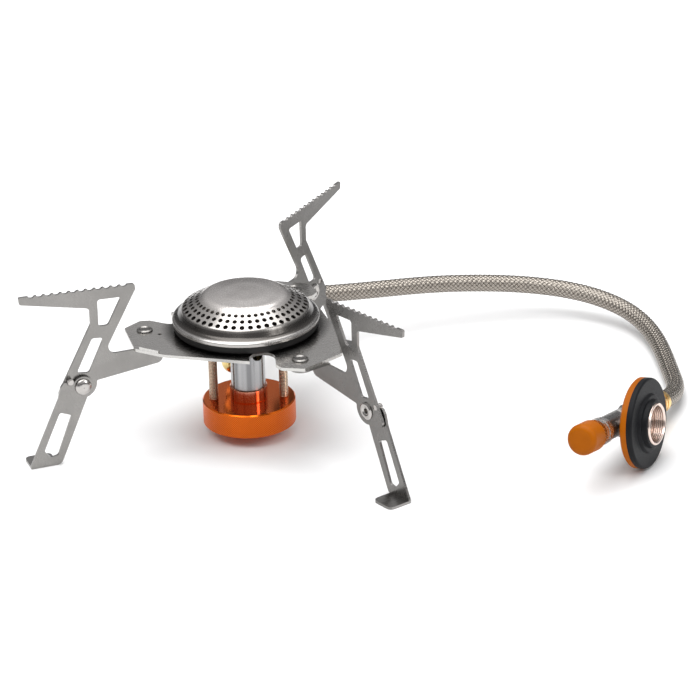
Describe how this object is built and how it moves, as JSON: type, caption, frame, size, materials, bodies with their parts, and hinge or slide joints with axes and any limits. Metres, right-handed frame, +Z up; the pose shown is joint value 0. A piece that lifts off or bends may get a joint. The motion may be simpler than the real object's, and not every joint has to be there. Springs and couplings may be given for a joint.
{
  "type": "canister stove",
  "caption": "Remote-canister camping stove with a domed burner head, folding legs that carry serrated pot arms, a braided gas hose and a valve with a canister adapter.",
  "frame": {"origin": "on the burner axis, on the ground plane under the feet", "axes": "+Z up along the burner axis; +X towards the side the valve lies on; the hose leaves towards +Y"},
  "size_m": [0.3012, 0.2073, 0.0824],
  "materials": {
    "leg_steel": "brushed",
    "cap_steel": "satin",
    "pan_black": "semi-gloss",
    "tube_alloy": "satin",
    "anodised_orange": "gloss anodised",
    "screw_steel": "plain",
    "brass": "machined",
    "rivet_steel": "polished",
    "hose_braid": "braided",
    "valve_brass": "nickel plated",
    "knob_plastic": "satin",
    "flange_black": "satin",
    "insert_metal": "machined",
    "seal_rubber": "plain"
  },
  "bodies": {
    "stove": {"support_plate": "leg_steel", "burner_pan": "pan_black", "burner_cap": "cap_steel", "flame_spreader": "cap_steel", "mixing_tube": "tube_alloy", "base_disc": "anodised_orange", "base_screws": "screw_steel", "screw_nuts": "screw_steel", "jet_holder": "brass", "gas_jet": "brass", "inlet_elbow": "brass", "inlet_nut": "brass", "burner_ferrule": "brass", "gas_hose": "hose_braid", "valve_ferrule": "brass", "valve_body": "valve_brass", "gland_nut": "valve_brass", "spindle_seal": "seal_rubber", "adapter_ring": "knob_plastic", "adapter_flange": "flange_black", "adapter_insert": "insert_metal", "canister_seal": "seal_rubber", "opening_pin": "rivet_steel", "inlet_filter": "screw_steel", "swing_rivet_1": "rivet_steel", "swing_washer_1": "rivet_steel", "swing_rivet_2": "rivet_steel", "swing_washer_2": "rivet_steel", "swing_rivet_3": "rivet_steel", "swing_washer_3": "rivet_steel"},
    "spindle": {"valve_needle": "rivet_steel"},
    "knob": {"control_knob": "knob_plastic"},
    "leg_1": {"leg_bracket_1": "leg_steel", "fold_rivet_1": "rivet_steel", "fold_washer_1": "rivet_steel", "stop_pin_1": "rivet_steel"},
    "foot_1": {"lower_leg_1": "leg_steel"},
    "leg_2": {"leg_bracket_2": "leg_steel", "fold_rivet_2": "rivet_steel", "fold_washer_2": "rivet_steel", "stop_pin_2": "rivet_steel"},
    "foot_2": {"lower_leg_2": "leg_steel"},
    "leg_3": {"leg_bracket_3": "leg_steel", "fold_rivet_3": "rivet_steel", "fold_washer_3": "rivet_steel", "stop_pin_3": "rivet_steel"},
    "foot_3": {"lower_leg_3": "leg_steel"}
  },
  "joints": [
    {"name": "valve_rise", "type": "slide", "parent": "stove", "child": "spindle", "axis": [-0.5043, -0.8392, 0.2034], "range_m": [0, 0.00175]},
    {"name": "knob_turn", "type": "hinge", "parent": "spindle", "child": "knob", "pos_m": [0.14464, -0.07805, 0.02678], "axis": [-0.5043, -0.8392, 0.2034], "range_deg": [0, 900]},
    {"name": "leg_swing_1", "type": "hinge", "parent": "stove", "child": "leg_1", "pos_m": [-0.0454, -0.0004, 0.05], "axis": [0, 0, -1], "range_deg": [0, 158]},
    {"name": "leg_fold_1", "type": "hinge", "parent": "leg_1", "child": "foot_1", "pos_m": [-0.07358, -0.02206, 0.0358], "axis": [0.3173, -0.9483, 0], "range_deg": [0, 112]},
    {"name": "leg_swing_2", "type": "hinge", "parent": "stove", "child": "leg_2", "pos_m": [0.02304, -0.03912, 0.05], "axis": [0, 0, -1], "range_deg": [-13, 145]},
    {"name": "leg_fold_2", "type": "hinge", "parent": "leg_2", "child": "foot_2", "pos_m": [0.052, -0.05974, 0.0358], "axis": [0.8141, 0.5807, 0], "range_deg": [0, 112]},
    {"name": "leg_swing_3", "type": "hinge", "parent": "stove", "child": "leg_3", "pos_m": [0.02236, 0.03951, 0.05], "axis": [0, 0, -1], "range_deg": [-8, 136]},
    {"name": "leg_fold_3", "type": "hinge", "parent": "leg_3", "child": "foot_3", "pos_m": [0.03123, 0.07394, 0.0358], "axis": [-0.8339, 0.5519, 0], "range_deg": [0, 112]}
  ],
  "couplings": [
    {"joint": "knob_turn", "follows": "valve_rise", "rad_per_m": 8976}
  ]
}
